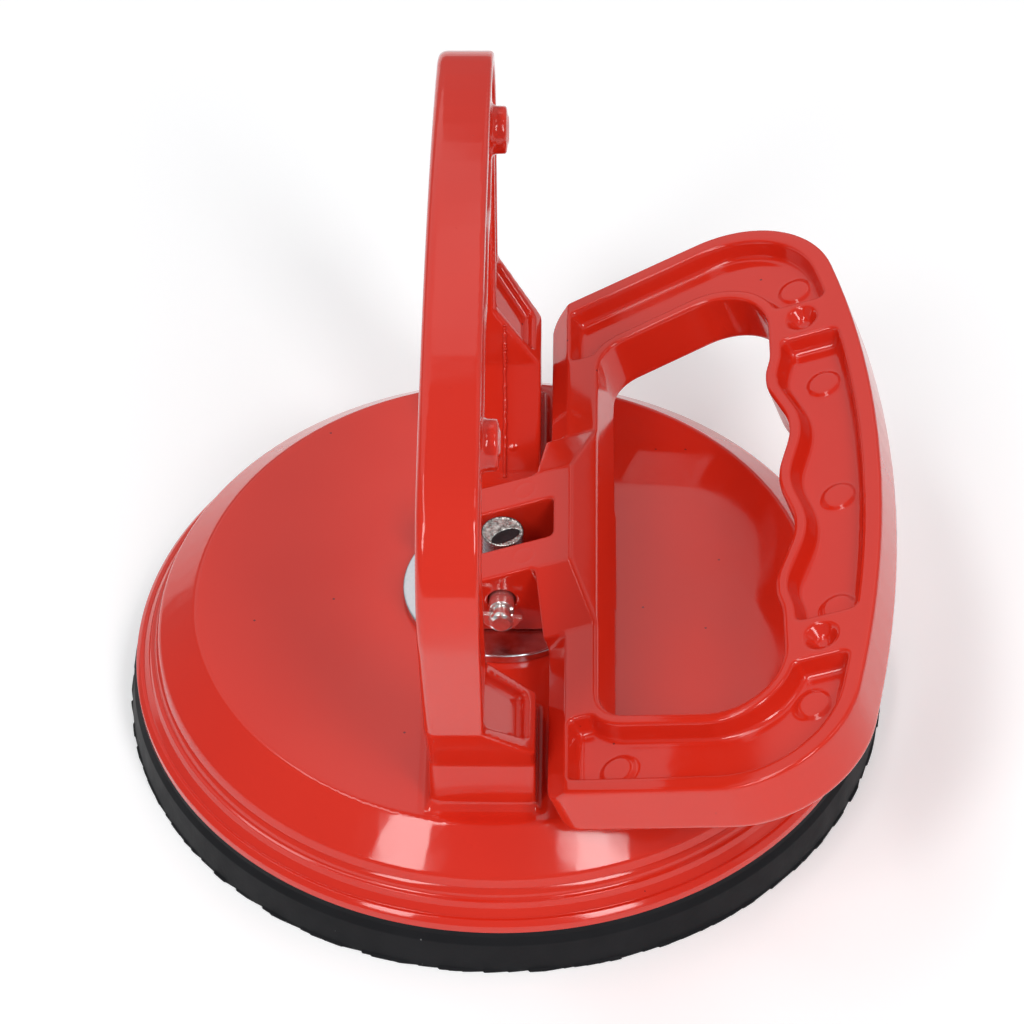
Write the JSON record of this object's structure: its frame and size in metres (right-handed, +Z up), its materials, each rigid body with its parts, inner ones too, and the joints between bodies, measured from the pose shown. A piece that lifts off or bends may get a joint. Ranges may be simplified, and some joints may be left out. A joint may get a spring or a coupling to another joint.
{
  "type": "vacuum suction cup",
  "caption": "Hand vacuum lifter: round rubber pad under a dished cast plate, with an upright fixed handle and a cam lever handle that lifts the pad's centre.",
  "frame": {"origin": "centre of the pad's lip, on the plane that it rests on", "axes": "+Z up, away from the surface; +X towards the free end of the opened lever; the fixed handle stands in the YZ plane"},
  "size_m": [0.118, 0.1182, 0.0931],
  "materials": {
    "red_enamel": "gloss enamel over an aluminium casting",
    "black_rubber": "matt moulded rubber",
    "polished_steel": "polished",
    "sawn_steel": "rough sawn",
    "nickel_plate": "bright plating"
  },
  "bodies": {
    "base": {"base_casting": "red_enamel", "rubber_pad": "black_rubber", "cam_washer": "polished_steel"},
    "draw": {"draw_stud": "sawn_steel", "backing_disc": "sawn_steel", "stud_collar": "sawn_steel", "pivot_pin": "nickel_plate", "retaining_clip": "nickel_plate"},
    "lever": {"lever_handle": "red_enamel"}
  },
  "joints": [
    {"name": "stud_lift", "type": "slide", "parent": "base", "child": "draw", "axis": [0, 0, 1], "range_m": [0, 0.0056], "deforming": ["rubber_pad"]},
    {"name": "lever_hinge", "type": "hinge", "parent": "draw", "child": "lever", "pos_m": [0, 0, 0.028], "axis": [0, -1, 0], "range_deg": [0, 67.5]}
  ],
  "couplings": [
    {"joint": "lever_hinge", "follows": "stud_lift", "rad_per_m": 210.37}
  ]
}
